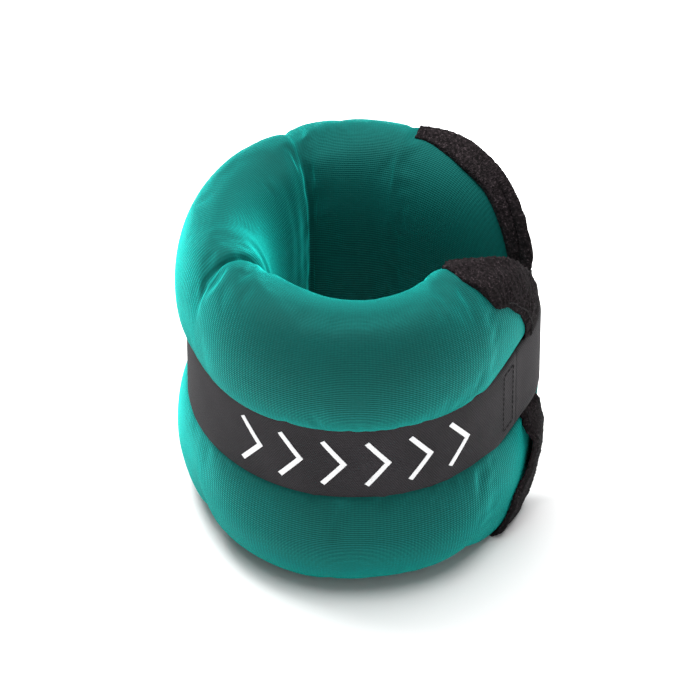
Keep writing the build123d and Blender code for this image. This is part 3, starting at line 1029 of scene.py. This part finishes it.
class CUFF_OT_strap(bpy.types.Operator):
    """Webbing sewn round the pad's waist, and its free flap that laps on the back."""

    bl_idname = "cuff.strap"
    bl_label = "Strap and flap"

    def execute(self, context):
        thick = sizes().strap_thick
        mid_end = (MID_ANGLE + TAIL_ANGLE) / 2
        runs = (
            ("strap_rear_half", STRAP_START, SIDE_MIDDLE, ("back_section", "side_section"),
             REAR_CREASE, 9, ("strap_back", "strap_side")),
            ("strap_front_half", SIDE_MIDDLE, FLAP_START, ("side_section", "front_section"),
             FRONT_CREASE, 9, ("strap_front",)),
            ("flap_over_gap", FLAP_START, 360 + ROOT_END, ("front_section", "flap_root"),
             360 + PEEL_ANGLE, 6, ("flap_root",)),
            ("flap_middle", ROOT_END, mid_end, ("flap_root", "flap_mid"), MID_ANGLE, 5, ("flap_mid",)),
            ("flap_end", mid_end, FLAP_END, ("flap_mid", "flap_tail"), TAIL_ANGLE, 4, ("flap_tail",)),
        )
        for name, first, last, bodies, hinge, reach, nodes in runs:
            rise = None if name == "strap_rear_half" else flap_rise
            piece = banded(name, first, last, STRAP_OUT, STRAP_WIDTH, thick, rise)
            shade_smooth(piece)
            coat(piece, "strap_webbing")
            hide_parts(*nodes)
            blend_at(piece, bodies[0], bodies[1], hinge, STRAP_OUT, reach)
        hem_out = FLAP_OUT + thick + SEWN_ROOM
        hem = banded("flap_hem", FLAP_END - 10, FLAP_END, hem_out, STRAP_WIDTH, thick)
        finish(hem, "strap_webbing", "tail_hem", "flap_tail")
        return {"FINISHED"}


class CUFF_OT_tapes(bpy.types.Operator):
    """Loop tape on the sewn strap and hook tape inside the flap."""

    bl_idname = "cuff.tapes"
    bl_label = "Hook and loop tapes"

    def execute(self, context):
        thick = sizes().tape_thick
        hook_out = FLAP_OUT - sizes().strap_thick - SEWN_ROOM
        loop_out = STRAP_OUT + thick + SEWN_ROOM
        for name, first, last, radius, slot, node, body in (
            ("loop_tape_back", 40, 108, loop_out, "loop_tape", "loop_patch", "back_section"),
            ("hook_tape_mid", 41, 67, hook_out, "hook_tape", "hook_patch_mid", "flap_mid"),
            ("hook_tape_tail", 75, 99, hook_out, "hook_tape", "hook_patch_tail", "flap_tail"),
        ):
            piece = banded(name, first, last, radius, TAPE_WIDTH, thick, cloth_rows=14, edge=0.3)
            finish(piece, slot, node, body)
        return {"FINISHED"}


def stitch_row(bm, points):
    """Lay stitches on a line of points, one between each pair, each a small rounded capsule."""
    thick = sizes().thread_thick * MM
    for first, second in zip(points, points[1:]):
        run = second - first
        middle = (first + second) / 2
        normal = Vector((middle.x, middle.y, 0)).normalized()
        along = run.normalized()
        across = normal.cross(along).normalized()
        turn = Matrix((along, across, normal)).transposed().to_4x4()
        size = Matrix.Diagonal((run.length * 0.42, thick * 0.55, thick * 0.5, 1))
        bmesh.ops.create_uvsphere(
            bm, u_segments=8, v_segments=5, radius=1, matrix=Matrix.Translation(middle) @ turn @ size
        )


def box_lines(rise, first, last, width, pitch=2.6, cross=True):
    """Lines of points for a box of stitches on the strap, with a cross inside it."""
    def at(share, height):
        angle = first + (last - first) * share
        lift = rise(angle) if rise else 0
        return polar(STRAP_OUT + THREAD_LIFT + lift, angle, MID_HEIGHT + height)

    corners = [(0, -width / 2), (1, -width / 2), (1, width / 2), (0, width / 2), (0, -width / 2)]
    legs = list(zip(corners, corners[1:]))
    if cross:
        legs += [(corners[0], corners[2]), (corners[1], corners[3])]
    lines = []
    for start, end in legs:
        length = (at(*end) - at(*start)).length / MM
        count = max(2, round(length / pitch))
        lines.append([
            at(start[0] + (end[0] - start[0]) * i / count, start[1] + (end[1] - start[1]) * i / count)
            for i in range(count + 1)
        ])
    return lines


class CUFF_OT_stitching(bpy.types.Operator):
    """Rows of lockstitches that hold the strap, the hook tape and the bindings."""

    bl_idname = "cuff.stitching"
    bl_label = "Stitching"

    def execute(self, context):
        width = TAPE_WIDTH - 2
        for node, body, rise, first, last, cross in (
            ("strap_stitching_back", "back_section", None, 24, 37, True),
            ("strap_stitching_side", "side_section", None, 127, 143, True),
            ("strap_stitching_front", "front_section", flap_rise, 331, 338, False),
            ("hook_stitching_mid", "flap_mid", flap_rise, 43, 66, False),
            ("hook_stitching_tail", "flap_tail", flap_rise, 76, 91.5, False),
        ):
            bm = bmesh.new()
            for line in box_lines(rise, first, last, width, cross=cross):
                stitch_row(bm, line)
            piece = new_piece(node.replace("stitching", "stitches"), bm)
            finish(piece, "thread", node, body)
        for end, body in (("far", "back_section"), ("near", "front_section")):
            bm = bmesh.new()
            for outside in (True, False):
                lift = 1.8 if outside else -1.8
                line = []
                for number in range(70):
                    level = 0.8 * (1 - 2 * number / 69)
                    at = leg_points(end, level, outside, leg_width(end, level, outside) - 2.2, 5)[4]
                    flat = Vector((at.x, at.y, 0)).normalized()
                    line.append((at + flat * lift) * MM)
                stitch_row(bm, line)
            piece = new_piece(end + "_end_stitches", bm)
            finish(piece, "thread", end + "_end_stitching", body)
        return {"FINISHED"}


class CUFF_OT_filling(bpy.types.Operator):
    """Sand bags and their iron sand, one of each inside every lobe."""

    bl_idname = "cuff.filling"
    bl_label = "Bags and sand"

    def execute(self, context):
        for lobe, first, last in (
            ("back", 27, REAR_CREASE - 10),
            ("side", REAR_CREASE + 10, FRONT_CREASE - 12),
            ("front", FRONT_CREASE + 12, 343),
        ):
            for kind, shrink, inset, slot in (
                ("bag", BAG_INSET, 0.0, "bag_cloth"),
                ("fill", SAND_INSET, SAND_SHORTER, "iron_sand"),
            ):
                count = 46
                start, stop = first + inset, last - inset
                angles = [start + (stop - start) * i / (count - 1) for i in range(count)]
                bm = pad_bmesh(angles, shrink)
                bm.normal_update()
                for vert in bm.verts:
                    slump = noise.noise(vert.co / MM * 0.06) * 0.5 - 0.5
                    vert.co = vert.co + vert.normal * slump * MM
                piece = new_piece(lobe + "_" + kind + "_inside", bm)
                finish(piece, slot, kind + "_" + lobe, lobe + "_section")
        return {"FINISHED"}


class CUFF_OT_print(bpy.types.Operator):
    """Row of plain chevrons printed on the front of the strap."""

    bl_idname = "cuff.print"
    bl_label = "Printed chevrons"

    def execute(self, context):
        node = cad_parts["strap_print"]
        node.data.materials.clear()
        node.data.materials.append(finish_of("print_ink"))
        return {"FINISHED"}


def area_light(name, place, aim, size, power):
    """Round soft light at a place, turned toward aim."""
    data = bpy.data.lights.new(name, "AREA")
    data.shape = "DISK"
    data.size = size
    data.energy = power
    light = bpy.data.objects.new(name, data)
    light.location = place
    light.rotation_euler = (Vector(aim) - Vector(place)).to_track_quat("-Z", "Y").to_euler()
    bpy.context.scene.collection.objects.link(light)


class CUFF_OT_stage(bpy.types.Operator):
    """Pale floor, soft studio lights and the camera."""

    bl_idname = "cuff.stage"
    bl_label = "Studio"

    def execute(self, context):
        scene = context.scene
        bm = bmesh.new()
        bmesh.ops.create_grid(bm, x_segments=2, y_segments=2, size=6)
        floor = new_piece("studio_floor", bm)
        floor.data.materials.append(finish_of("floor"))

        middle = Vector((0, 0, MID_HEIGHT * MM))
        area_light("key_light", (-0.3, 0.35, 1.2), middle, 0.6, 18)
        area_light("overhead_light", (0, 0.4, 2.4), middle, 3.0, 110)
        area_light("fill_light", (0.8, -0.8, 0.6), middle, 0.7, 1)
        world = bpy.data.worlds.new("studio")
        world.use_nodes = True
        world.node_tree.nodes["Background"].inputs["Color"].default_value = (1, 1, 1, 1)
        world.node_tree.nodes["Background"].inputs["Strength"].default_value = 0.3
        scene.world = world
        scene.view_settings.view_transform = "Standard"

        lens = bpy.data.cameras.new("camera")
        lens.lens = CAMERA_LENS
        lens.sensor_width = 36
        lens.clip_end = 20
        camera = bpy.data.objects.new("camera", lens)
        rise = radians(CAMERA_RISE)
        aim = middle + Vector(CAMERA_AIM)
        camera.location = aim + CAMERA_DISTANCE * Vector((0, -cos(rise), sin(rise)))
        camera.rotation_euler = Euler((pi / 2 - rise, 0, 0))
        scene.collection.objects.link(camera)
        scene.camera = camera
        return {"FINISHED"}


class CUFF_PT_panel(bpy.types.Panel):
    """The cuff's sizes, colours and pieces."""

    bl_idname = "CUFF_PT_panel"
    bl_label = "Cuff weight"
    bl_space_type = "VIEW_3D"
    bl_region_type = "UI"
    bl_category = "Cuff weight"

    def draw(self, context):
        for group in (context.scene.cuff_sizes, context.scene.cuff_colours):
            column = self.layout.column()
            for key in group.__annotations__:
                column.prop(group, key)
        for operator in OPERATORS:
            self.layout.operator(operator.bl_idname)


OPERATORS = (
    CUFF_OT_pad,
    CUFF_OT_bindings,
    CUFF_OT_strap,
    CUFF_OT_tapes,
    CUFF_OT_stitching,
    CUFF_OT_filling,
    CUFF_OT_print,
    CUFF_OT_stage,
)
CLASSES = (CuffSizes, CuffColours, *OPERATORS, CUFF_PT_panel)


def register():
    for item in CLASSES:
        bpy.utils.register_class(item)
    bpy.types.Scene.cuff_sizes = PointerProperty(type=CuffSizes)
    bpy.types.Scene.cuff_colours = PointerProperty(type=CuffColours)


def unregister():
    del bpy.types.Scene.cuff_colours
    del bpy.types.Scene.cuff_sizes
    for item in reversed(CLASSES):
        bpy.utils.unregister_class(item)


def main():
    register()
    bpy.ops.cuff.pad()
    bpy.ops.cuff.bindings()
    bpy.ops.cuff.strap()
    bpy.ops.cuff.tapes()
    bpy.ops.cuff.stitching()
    bpy.ops.cuff.filling()
    bpy.ops.cuff.print()
    bpy.ops.cuff.stage()


if __name__ == "__main__":
    main()
